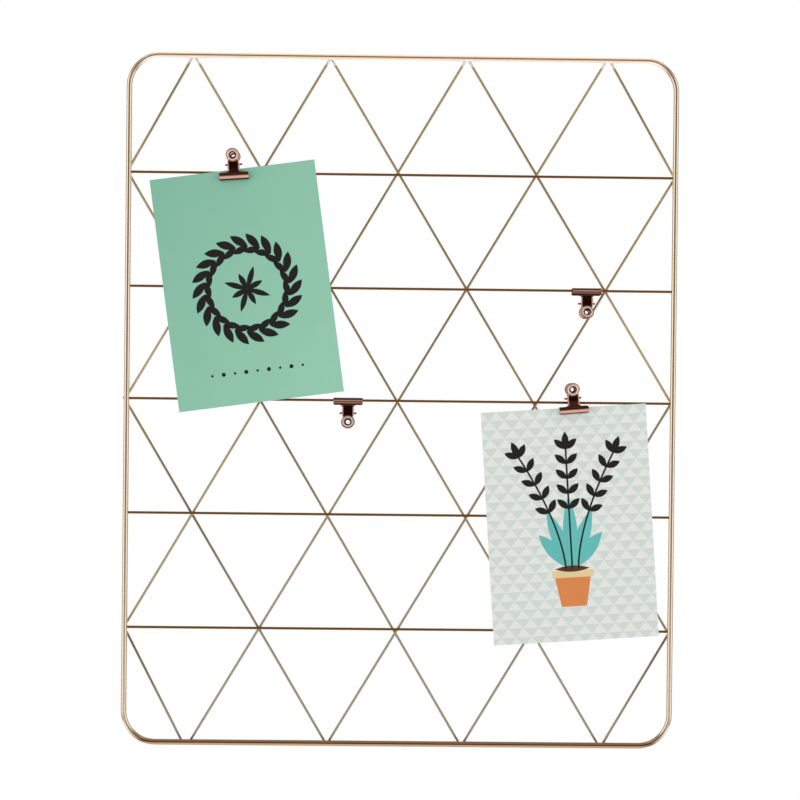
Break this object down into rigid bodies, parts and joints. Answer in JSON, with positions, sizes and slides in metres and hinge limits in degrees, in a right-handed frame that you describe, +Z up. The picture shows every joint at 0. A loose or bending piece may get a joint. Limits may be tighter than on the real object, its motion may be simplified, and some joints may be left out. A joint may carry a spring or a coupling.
{
  "type": "wall grid photo display",
  "caption": "Rounded copper wire wall frame with a welded triangle lattice, sprung metal clips that slide on its wires, and postcards held by clips.",
  "frame": {"origin": "underside of the top bar at the middle of the frame, where a wall hook carries it", "axes": "+Z up, +X to the right as seen from the front, +Y towards the wall"},
  "size_m": [0.3516, 0.014, 0.4387],
  "materials": {
    "grid_wire": "polished",
    "clip_plate": "polished",
    "clip_pin": "satin",
    "clip_spring": "satin",
    "mint_card": "matte",
    "pale_card": "matte"
  },
  "bodies": {
    "grid": {"frame_rod": "grid_wire", "row_wire_1": "grid_wire", "row_wire_2": "grid_wire", "row_wire_3": "grid_wire", "row_wire_4": "grid_wire", "row_wire_5": "grid_wire", "rising_wire_1": "grid_wire", "rising_wire_2": "grid_wire", "rising_wire_3": "grid_wire", "rising_wire_4": "grid_wire", "rising_wire_5": "grid_wire", "rising_wire_6": "grid_wire", "rising_wire_7": "grid_wire", "falling_wire_1": "grid_wire", "falling_wire_2": "grid_wire", "falling_wire_3": "grid_wire", "falling_wire_4": "grid_wire", "falling_wire_5": "grid_wire", "falling_wire_6": "grid_wire", "falling_wire_7": "grid_wire"},
    "left_card_clip": {"left_card_clip_rear_plate": "clip_plate", "left_card_clip_pin": "clip_pin", "left_card_clip_spring": "clip_spring"},
    "left_card_clip_front": {"left_card_clip_front_plate": "clip_plate"},
    "right_card_clip": {"right_card_clip_rear_plate": "clip_plate", "right_card_clip_pin": "clip_pin", "right_card_clip_spring": "clip_spring"},
    "right_card_clip_front": {"right_card_clip_front_plate": "clip_plate"},
    "upper_spare_clip": {"upper_spare_clip_rear_plate": "clip_plate", "upper_spare_clip_pin": "clip_pin", "upper_spare_clip_spring": "clip_spring"},
    "upper_spare_clip_front": {"upper_spare_clip_front_plate": "clip_plate"},
    "lower_spare_clip": {"lower_spare_clip_rear_plate": "clip_plate", "lower_spare_clip_pin": "clip_pin", "lower_spare_clip_spring": "clip_spring"},
    "lower_spare_clip_front": {"lower_spare_clip_front_plate": "clip_plate"},
    "left_card": {"left_card": "mint_card"},
    "right_card": {"right_card": "pale_card"}
  },
  "joints": [
    {"name": "left_card_clip_slide", "type": "slide", "parent": "grid", "child": "left_card_clip", "axis": [1, 0, 0], "range_m": [-0.008, 0.002]},
    {"name": "left_card_clip_opening", "type": "hinge", "parent": "left_card_clip", "child": "left_card_clip_front", "pos_m": [-0.1069, -0.00028, -0.0671], "axis": [-0.9976, 0, -0.0698], "range_deg": [0, 30], "stiffness_Nm_per_rad": 0.05, "springref_deg": -28.65, "deforming": ["left_card_clip_spring"]},
    {"name": "right_card_clip_slide", "type": "slide", "parent": "grid", "child": "right_card_clip", "axis": [1, 0, 0], "range_m": [-0.008, 0.0015]},
    {"name": "right_card_clip_opening", "type": "hinge", "parent": "right_card_clip", "child": "right_card_clip_front", "pos_m": [0.1096, -0.00028, -0.21262], "axis": [-0.9962, 0, -0.0872], "range_deg": [0, 30], "stiffness_Nm_per_rad": 0.05, "springref_deg": -28.65, "deforming": ["right_card_clip_spring"]},
    {"name": "upper_spare_clip_slide", "type": "slide", "parent": "grid", "child": "upper_spare_clip", "axis": [1, 0, 0], "range_m": [-0.055, 0]},
    {"name": "upper_spare_clip_opening", "type": "hinge", "parent": "upper_spare_clip", "child": "upper_spare_clip_front", "pos_m": [0.11775, 0.001, -0.15255], "axis": [1, 0, 0], "range_deg": [0, 30], "stiffness_Nm_per_rad": 0.05, "springref_deg": -28.65, "deforming": ["upper_spare_clip_spring"]},
    {"name": "lower_spare_clip_slide", "type": "slide", "parent": "grid", "child": "lower_spare_clip", "axis": [1, 0, 0], "range_m": [-0.016, 0.018]},
    {"name": "lower_spare_clip_opening", "type": "hinge", "parent": "lower_spare_clip", "child": "lower_spare_clip_front", "pos_m": [-0.033, 0.001, -0.2237], "axis": [1, 0, 0], "range_deg": [0, 30], "stiffness_Nm_per_rad": 0.05, "springref_deg": -28.65, "deforming": ["lower_spare_clip_spring"]},
    {"name": "left_card_swivel", "type": "hinge", "parent": "left_card_clip", "child": "left_card", "pos_m": [-0.10623, -0.00028, -0.07661], "axis": [0, 1, 0], "range_deg": [-6, 8]},
    {"name": "right_card_swivel", "type": "hinge", "parent": "right_card_clip", "child": "right_card", "pos_m": [0.11043, -0.00028, -0.22212], "axis": [0, 1, 0], "range_deg": [-1.5, 6]}
  ]
}
